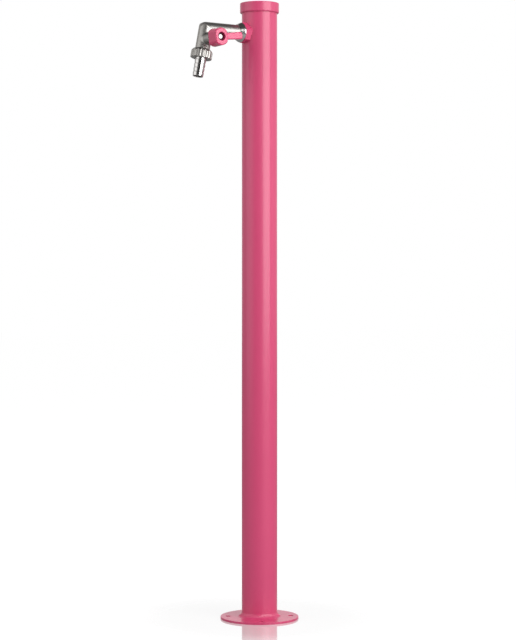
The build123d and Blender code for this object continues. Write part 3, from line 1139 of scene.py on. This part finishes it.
@dataclass
class LeverHandle:
    """The moulded lever: a flat-sided, recessed hub whose arm points at the column.

    Attributes:
        back: Place of the hub's back along the stem.
        depth: Depth of the hub.
        back_diameter: Diameter at the back.
        front_diameter: Diameter at the front.
        flat_reach: Distance from the stem's axis to each flat side.
        corner_blend: Size of the rounding between the flats and the round sides.
        front_blend: Size of the rounding at the front.
        back_blend: Size of the rounding at the back.
        recess_diameter: Diameter of the recess for the nut.
        recess_depth: Depth of the recess.
        recess_blend: Size of the rounding at the recess's rim.
        stem_hole: Diameter of the hole for the stem.
        flats_width: Width of the hole across its flats.
        arm_rise: Angle of the arm above level, in degrees.
        arm_reach: Distance from the stem's axis to the arm's tip.
        arm_root_width: Width of the arm at the stem's axis.
        arm_tip_width: Width of the arm at its tip.
        arm_thickness: Thickness of the arm.
        arm_setback: Distance from the hub's face to the arm's face.
        tip_blend: Size of the rounding at the tip's corners.
        edge_blend: Size of the rounding along the arm's edges.
        root_blend: Size of the rounding where the arm meets the hub.
        cell: Grid step of the mesh.
        margin: Space left round the handle.
    """

    back: float = 30.1
    depth: float = 23.4
    back_diameter: float = 30.4
    front_diameter: float = 28.8
    flat_reach: float = 11.6
    corner_blend: float = 1.6
    front_blend: float = 2.6
    back_blend: float = 1.4
    recess_diameter: float = 13.8
    recess_depth: float = 10.0
    recess_blend: float = 0.8
    stem_hole: float = 8.1
    flats_width: float = 6.1
    arm_rise: float = 6.5
    arm_reach: float = 43.6
    arm_root_width: float = 10.4
    arm_tip_width: float = 12.2
    arm_thickness: float = 8.0
    arm_setback: float = 3.0
    tip_blend: float = 4.2
    edge_blend: float = 2.2
    root_blend: float = 2.0
    cell: float = 0.5
    margin: float = 1.5

    def field(self, points: np.ndarray) -> np.ndarray:
        """Give the distance from the handle's surface, in the lever's frame.

        Args:
            points: Points in the lever's frame.

        Returns:
            Signed distances.
        """
        x, y, z = points[..., 0], points[..., 1], points[..., 2]
        radius = np.sqrt(x**2 + y**2)
        face = self.back + self.depth
        share = np.clip((z - self.back) / self.depth, 0, 1)
        taper = self.front_diameter - self.back_diameter
        hub = radius - (self.back_diameter + taper * share) / 2
        hub = smooth_cut(hub, np.abs(x) - self.flat_reach, self.corner_blend)
        hub = smooth_cut(hub, z - face, self.front_blend)
        hub = smooth_cut(hub, self.back - z, self.back_blend)
        arm_middle = face - self.arm_setback - self.arm_thickness / 2
        flare = self.arm_tip_width - self.arm_root_width
        half_width = (self.arm_root_width + flare * x / self.arm_reach) / 2
        arm = smooth_cut(np.abs(y) - half_width, x - self.arm_reach, self.tip_blend)
        arm = smooth_cut(arm, np.abs(z - arm_middle) - self.arm_thickness / 2, self.edge_blend)
        arm = np.maximum(arm, -x)
        handle = smooth_union(hub, arm, self.root_blend)
        recess = np.maximum(radius - self.recess_diameter / 2, face - self.recess_depth - z)
        handle = smooth_cut(handle, -recess, self.recess_blend)
        hole = np.maximum(radius - self.stem_hole / 2, np.abs(y) - self.flats_width / 2)
        return np.maximum(handle, -hole)

    def build(self, places: Places, palette: Palette) -> None:
        """Build and place the handle.

        Args:
            places: The frames.
            palette: The materials.
        """
        half = self.back_diameter / 2 + self.margin
        low = (-half, -half, self.back - self.margin)
        high = (self.arm_reach + self.margin, half, self.back + self.depth + self.margin)
        handle = surface_net("lever_moulding", self.field, low, high, self.cell, places.lever)
        place_piece(handle, palette, Slot.LEVER_PAINT, Body.VALVE, ["lever_handle"])


@dataclass
class HoseUnion:
    """The threaded nipple, the fluted nut and the barbed hose tail.

    Attributes:
        leg_end: Place of the spout's end from the elbow's centre.
        insert_start: Place of the nipple's inner end.
        insert_diameter: Diameter of the nipple's screwed insert.
        nipple_bore: Bore of the nipple.
        thread_diameter: Major diameter of the union's thread.
        thread_pitch: Pitch of the union's thread.
        thread_turns: Turns of thread.
        thread_depth: Depth of the thread.
        groove_ratio: Steepness of the groove's sides; above 1 its crests are flat.
        fade_rate: One over the share of the thread's length on which it fades at each end.
        lead_rate: One over the share of its length on which its end is chamfered.
        seal_thickness: Thickness of the seal between nipple and tail.
        collar_length: Length of the tail's collar.
        lip_length: Thickness of the nut's lip.
        nut_diameter: Outside diameter of the nut.
        nut_length: Length of the nut.
        nut_bore: Bore of the nut.
        mouth_wall: Wall of the nut at its mouth.
        dome: Size of the rounding towards the mouth.
        nut_edge: Size of the rounding at the lip.
        small_edge: Size of the small roundings on the nut and the collar.
        mouth_edge: Size of the roundings at the tail's mouth.
        lip_bore: Bore of the lip.
        flute_count: Number of flutes.
        flute_radius: Radius of each flute.
        flute_depth: Depth of each flute.
        flute_edge: Size of the rounding along each flute's edges.
        collar_diameter: Diameter of the tail's collar.
        neck_diameter: Diameter of the tail's neck.
        tail_bore: Bore of the tail.
        tail_length: Length of the tail beyond the nut.
        barb_count: Number of barbs.
        barb_pitch: Distance between barbs.
        first_barb: Diameter of the first barb's crest.
        last_barb: Diameter of the last barb's crest.
        barb_step: Height of each barb's step.
        shoulder_share: Share of that step which the worn shoulder takes.
        barb_shoulder: Length of the worn shoulder above each crest.
        barb_edge: Size of the rounding at each crest.
        neck_fillet: Size of the rounding at the neck.
        mouth_chamfer: Chamfer inside the tail's mouth.
        rows_per_turn: Rows of the mesh along each turn of thread.
        nipple_segments: Steps round the nipple.
        flute_segments: Steps round the nut for each flute.
        tail_segments: Steps round the tail.
        nut_arc: Pieces of each rounding on the nut.
        tail_arc: Pieces of each rounding on the tail.
    """

    leg_end: float = 35.8
    insert_start: float = 26.95
    insert_diameter: float = 20.0
    nipple_bore: float = 12.5
    thread_diameter: float = 26.4
    thread_pitch: float = 1.814
    thread_turns: float = 3.5
    thread_depth: float = 1.16
    groove_ratio: float = 1.25
    fade_rate: float = 6.0
    lead_rate: float = 8.0
    seal_thickness: float = 1.8
    collar_length: float = 3.0
    lip_length: float = 3.0
    nut_diameter: float = 36.0
    nut_length: float = 15.2
    nut_bore: float = 26.5
    mouth_wall: float = 1.2
    dome: float = 3.4
    nut_edge: float = 0.8
    small_edge: float = 0.3
    mouth_edge: float = 0.15
    lip_bore: float = 19.6
    flute_count: int = 16
    flute_radius: float = 3.0
    flute_depth: float = 0.9
    flute_edge: float = 0.25
    collar_diameter: float = 25.7
    neck_diameter: float = 18.8
    tail_bore: float = 13.7
    tail_length: float = 30.8
    barb_count: int = 4
    barb_pitch: float = 6.9
    first_barb: float = 19.6
    last_barb: float = 18.9
    barb_step: float = 0.8
    shoulder_share: float = 0.6
    barb_shoulder: float = 0.9
    barb_edge: float = 0.22
    neck_fillet: float = 0.5
    mouth_chamfer: float = 0.5
    rows_per_turn: int = 10
    nipple_segments: int = 144
    flute_segments: int = 24
    tail_segments: int = 160
    nut_arc: int = 8
    tail_arc: int = 4

    def __post_init__(self) -> None:
        """Work out the places along the spout."""
        self.nipple_end = self.leg_end + self.thread_turns * self.thread_pitch
        self.seal_end = self.nipple_end + self.seal_thickness
        self.lip_top = self.seal_end + self.collar_length
        self.nut_end = self.lip_top + self.lip_length
        self.nut_mouth = self.nut_end - self.nut_length
        self.tail_end = self.nut_end + self.tail_length

    def nipple_section(self, angle: float) -> Section:
        """Give the nipple's section at an angle, with the thread at its phase there.

        Args:
            angle: Angle round the spout, in radians.

        Returns:
            The closed section.
        """
        points = [
            (self.nipple_bore / 2, self.nipple_end),
            (self.nipple_bore / 2, self.insert_start),
            (self.insert_diameter / 2, self.insert_start),
            (self.insert_diameter / 2, self.leg_end),
        ]
        rows = round(self.thread_turns * self.rows_per_turn)
        length = self.nipple_end - self.leg_end
        for row in range(rows + 1):
            share = row / rows
            phase = (share * self.thread_turns - angle / (2 * math.pi)) % 1.0
            groove = max(0.0, 1.0 - abs(2 * phase - 1) * self.groove_ratio)
            fade = min(1.0, self.fade_rate * share, self.fade_rate * (1 - share))
            lead_in = self.mouth_chamfer * max(0.0, 1 - self.lead_rate * (1 - share))
            radius = self.thread_diameter / 2 - self.thread_depth * groove * fade - lead_in
            points.append((radius, self.leg_end + length * share))
        return points

    def nut_section(self, angle: float) -> Section:
        """Give the nut's section at an angle, drawn in where a flute runs.

        Args:
            angle: Angle round the spout, in radians.

        Returns:
            The closed section.
        """
        outer = self.nut_diameter / 2
        profile = [
            (self.nut_bore / 2, self.nut_mouth, 0),
            (self.nut_bore / 2 + self.mouth_wall, self.nut_mouth, self.small_edge),
            (outer, self.nut_mouth + self.dome, self.dome),
            (outer, self.nut_end, self.nut_edge),
            (self.lip_bore / 2, self.nut_end, self.small_edge),
            (self.lip_bore / 2, self.lip_top, 0),
            (self.nut_bore / 2, self.lip_top, 0),
        ]
        span = 2 * math.pi / self.flute_count
        turn = angle % span - span / 2
        centre = outer + self.flute_radius - self.flute_depth
        reach = centre * math.sin(turn)
        flute = outer + self.flute_edge
        if abs(reach) < self.flute_radius:
            flute = min(flute, centre * math.cos(turn) - math.sqrt(self.flute_radius**2 - reach**2))
        points = []
        for radius, place in rounded(profile, self.nut_arc):
            if radius > self.nut_bore / 2 + self.mouth_wall / 2:
                radius = float(smooth_union(np.float64(radius), np.float64(flute), self.flute_edge))
            points.append((radius, place))
        return points

    def tail_section(self, angle: float) -> Section:
        """Give the tail's section, which is the same at every angle.

        Args:
            angle: Not used; every section takes an angle.

        Returns:
            The closed section.
        """
        barbs_start = self.tail_end - self.barb_count * self.barb_pitch
        profile = [
            (self.tail_bore / 2, self.seal_end, 0),
            (self.collar_diameter / 2, self.seal_end, self.small_edge),
            (self.collar_diameter / 2, self.lip_top, self.small_edge),
            (self.neck_diameter / 2, self.lip_top, self.neck_fillet),
        ]
        for number in range(self.barb_count):
            share = number / (self.barb_count - 1)
            crest = (self.first_barb + (self.last_barb - self.first_barb) * share) / 2
            top = barbs_start + number * self.barb_pitch
            profile += [
                (crest - self.barb_step, top, 0),
                (crest - self.barb_step * self.shoulder_share, top, 0),
                (crest, top + self.barb_shoulder, self.barb_edge),
            ]
        profile += [
            (crest - self.barb_step, self.tail_end, self.barb_edge),
            (self.tail_bore / 2 + self.mouth_chamfer, self.tail_end, self.mouth_edge),
            (self.tail_bore / 2, self.tail_end - self.mouth_chamfer, self.mouth_edge),
        ]
        return rounded(profile, self.tail_arc)

    def build(self, places: Places, palette: Palette) -> None:
        """Build and place the nipple, the nut and the tail.

        Args:
            places: The frames.
            palette: The materials.
        """
        nipple = turned("threaded_nipple", self.nipple_section, self.nipple_segments, places.spout)
        place_piece(nipple, palette, Slot.SATIN_PLATING, Body.STANDPIPE, ["outlet_nipple"])
        nut_segments = self.flute_count * self.flute_segments
        nut = turned("fluted_nut", self.nut_section, nut_segments, places.spout)
        place_piece(nut, palette, Slot.SATIN_PLATING, Body.NUT, ["union_nut"])
        tail = turned("barbed_tail", self.tail_section, self.tail_segments, places.spout)
        place_piece(tail, palette, Slot.PLATING, Body.TAIL, ["hose_tail"])


# Studio


@dataclass(frozen=True)
class Lamp:
    """A soft rectangular lamp.

    Attributes:
        name: Name of the lamp.
        turn: Its direction from the column, in degrees to the right of the camera's.
        reach: Its distance from the column's axis, in metres.
        size: Width and height, in metres.
        watts: Power.
    """

    name: str
    turn: float
    reach: float
    size: Span
    watts: float


LAMPS = (
    Lamp("right_lamp", 46.0, 1.9, (1.7, 1.6), 34.0),
    Lamp("edge_lamp", 98.0, 2.2, (0.8, 1.6), 1.5),
    Lamp("left_lamp", -70.0, 2.4, (2.2, 2.0), 11.0),
)


@dataclass
class Studio:
    """Floor, lights, surroundings and the camera at the photograph's viewing angle.

    Attributes:
        azimuth: Camera's direction round the column, in degrees.
        distance: Camera's distance from the column, in metres.
        eye_height: Camera's height, in metres.
        focal_pixels: Focal length in pixels of the photograph.
        frame_width: Photograph's width in pixels.
        frame_height: Photograph's height in pixels.
        axis_column: Pixel column that the camera looks along.
        axis_row: Pixel row that the camera looks along.
        sensor: Height of the camera's sensor, in millimetres.
        lamp_height: Height of the lamps, in metres.
        lamp_target: Height that the lamps point at, in metres.
        fill_colour: Light that the surroundings throw on matt surfaces.
        room_colour: What polished metal sees at the sides.
        dark_colour: What it sees round the camera.
        dark_turn: Direction of the dark part's middle, to the right of the camera's, in degrees.
        dark_edge: Where the room turns dark, as cosines of the angle from that middle.
        white_edge: Where the white behind the column ends, in the same measure.
        ceiling_colour: What polished metal sees above.
        ceiling_edge: Where the ceiling begins, as the sine of the height above level.
        floor_colour: Colour of the floor under its glow.
        floor_half: Half the floor's width, in metres.
        polish_start: How far from the column the floor starts to turn matt, in metres.
        polish_end: Where it is all matt, in metres.
        polished_glow: What the camera sees the polished floor give off, so that it shows white.
        matt_glow: The same for the matt floor.
    """

    azimuth: float = 55.0
    distance: float = 3.124
    eye_height: float = 0.567
    focal_pixels: float = 1845.0
    frame_width: float = 516.0
    frame_height: float = 640.0
    axis_column: float = 259.5
    axis_row: float = 283.0
    sensor: float = 36.0
    lamp_height: float = 1.2
    lamp_target: float = 0.72
    fill_colour: Colour = (0.68, 0.68, 0.68)
    room_colour: Colour = (0.55, 0.54, 0.53)
    dark_colour: Colour = (0.05, 0.05, 0.05)
    dark_turn: float = -4.0
    dark_edge: Span = (0.84, 0.94)
    white_edge: Span = (-0.93, -0.75)
    ceiling_colour: Colour = (0.07, 0.07, 0.07)
    ceiling_edge: Span = (0.45, 0.8)
    floor_colour: Colour = (0.35, 0.35, 0.35)
    floor_half: float = 15.0
    polish_start: float = 0.12
    polish_end: float = 0.36
    polished_glow: float = 0.60
    matt_glow: float = 0.76

    def toward(self, turn: float) -> Vector:
        """Give a level direction from the column, turned to the right of the camera's by degrees."""
        angle = math.radians(self.azimuth + turn)
        return Vector((math.sin(angle), -math.cos(angle), 0))

    def build_camera(self) -> None:
        """Add the camera."""
        data = bpy.data.cameras.new("camera")
        data.sensor_fit = "VERTICAL"
        data.sensor_height = self.sensor
        data.lens = self.focal_pixels / self.frame_height * self.sensor
        data.shift_x = -(self.axis_column - self.frame_width / 2) / self.frame_height
        data.shift_y = -(self.frame_height / 2 - self.axis_row) / self.frame_height
        camera = bpy.data.objects.new("camera", data)
        bpy.context.scene.collection.objects.link(camera)
        camera.location = self.toward(0) * self.distance + Vector((0, 0, self.eye_height))
        heading = math.atan2(camera.location.x, -camera.location.y)
        camera.rotation_euler = (math.radians(90), 0, heading)
        bpy.context.scene.camera = camera

    def build_lights(self) -> None:
        """Add the lamps, which all point at the column."""
        target = Vector((0, 0, self.lamp_target))
        for lamp in LAMPS:
            data = bpy.data.lights.new(lamp.name, "AREA")
            data.shape = "RECTANGLE"
            data.size, data.size_y = lamp.size
            data.energy = lamp.watts
            light = bpy.data.objects.new(lamp.name, data)
            bpy.context.scene.collection.objects.link(light)
            light.location = self.toward(lamp.turn) * lamp.reach + Vector((0, 0, self.lamp_height))
            light.rotation_euler = (target - light.location).to_track_quat("-Z", "Y").to_euler()

    def build_world(self) -> None:
        """Add the surroundings: a white backdrop, and what polished metal sees around it."""
        world = bpy.data.worlds.new("studio")
        world.use_nodes = True
        world.node_tree.nodes.clear()
        nodes = Nodes(world.node_tree)
        direction = nodes.add("ShaderNodeTexCoord").outputs["Generated"]
        height = nodes.add("ShaderNodeSeparateXYZ", Vector=direction).outputs["Z"]
        facing = nodes.add("ShaderNodeVectorMath", operation="DOT_PRODUCT")
        nodes.feed(facing.inputs[0], direction)
        nodes.feed(facing.inputs[1], self.toward(self.dark_turn))
        front = nodes.remap(facing.outputs["Value"], self.dark_edge)
        behind = nodes.remap(facing.outputs["Value"], self.white_edge)
        room = nodes.mix(front, self.room_colour, self.dark_colour)
        sides = nodes.mix(behind, WHITE, room)
        glossy = nodes.mix(nodes.remap(height, self.ceiling_edge), sides, self.ceiling_colour)
        path = nodes.add("ShaderNodeLightPath").outputs
        colour = nodes.mix(path["Is Glossy Ray"], self.fill_colour, glossy)
        for ray in ("Is Transmission Ray", "Is Camera Ray"):
            colour = nodes.mix(path[ray], colour, WHITE)
        background = nodes.add("ShaderNodeBackground", Color=colour, Strength=1.0)
        output = nodes.add("ShaderNodeOutputWorld")
        nodes.feed(output.inputs["Surface"], background.outputs[0])
        bpy.context.scene.world = world

    def build_floor(self) -> None:
        """Add the white floor, which is polished round the foot and matt further out."""
        half = self.floor_half
        mesh = bpy.data.meshes.new("floor")
        corners = [(-half, -half, 0), (half, -half, 0), (half, half, 0), (-half, half, 0)]
        mesh.from_pydata(corners, [], [(0, 1, 2, 3)])
        floor = bpy.data.objects.new("floor", mesh)
        bpy.context.scene.collection.objects.link(floor)
        material = bpy.data.materials.new("white_floor")
        material.use_nodes = True
        nodes = Nodes(material.node_tree)
        polished = material.node_tree.nodes["Principled BSDF"]
        matt = nodes.add("ShaderNodeBsdfPrincipled")
        seen = nodes.add("ShaderNodeLightPath").outputs["Is Camera Ray"]
        gloss = nodes.add("ShaderNodeFresnel").outputs["Fac"]
        mirrored = nodes.math("MULTIPLY", gloss, self.polished_glow)
        under_gloss = nodes.math("SUBTRACT", self.polished_glow, mirrored)
        for shader, glow in ((polished, under_gloss), (matt, self.matt_glow)):
            nodes.give(shader, Base_Color=self.floor_colour, Emission_Color=WHITE)
            nodes.give(shader, Emission_Strength=nodes.math("MULTIPLY", seen, glow))
        nodes.give(polished, Roughness=0.05, Coat_Weight=1.0, Coat_Roughness=0.03)
        nodes.give(matt, Roughness=1.0, Specular_IOR_Level=0.0)
        place = nodes.add("ShaderNodeNewGeometry").outputs["Position"]
        reach = nodes.add("ShaderNodeVectorMath", operation="LENGTH")
        nodes.feed(reach.inputs[0], place)
        share = nodes.remap(reach.outputs["Value"], (self.polish_start, self.polish_end))
        both = nodes.add("ShaderNodeMixShader", Fac=share)
        nodes.feed(both.inputs[1], polished.outputs[0])
        nodes.feed(both.inputs[2], matt.outputs[0])
        nodes.feed(material.node_tree.nodes["Material Output"].inputs["Surface"], both.outputs[0])
        mesh.materials.append(material)

    def build(self) -> None:
        """Build the whole studio."""
        self.build_camera()
        self.build_lights()
        self.build_world()
        self.build_floor()
        bpy.context.scene.view_settings.view_transform = "Standard"


def main() -> None:
    """Build the standpipe's looks in order."""
    logging.basicConfig(level=logging.INFO, format="%(name)s: %(message)s")
    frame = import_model()
    palette = Palette()
    for part in frame["record"]["subparts"]:
        finish = OWN_FINISHES.get(part["node"], part["material_slot"])
        palette.dress(frame["nodes"][part["node"]], finish)
    casting, handle = TapCasting(), LeverHandle()
    places = Places.from_frame(frame, casting.stem_drop, handle.arm_rise)
    for assembly in (ColumnFoot(), casting, handle, HoseUnion()):
        assembly.build(places, palette)
    Studio().build()


if __name__ == "__main__":
    main()
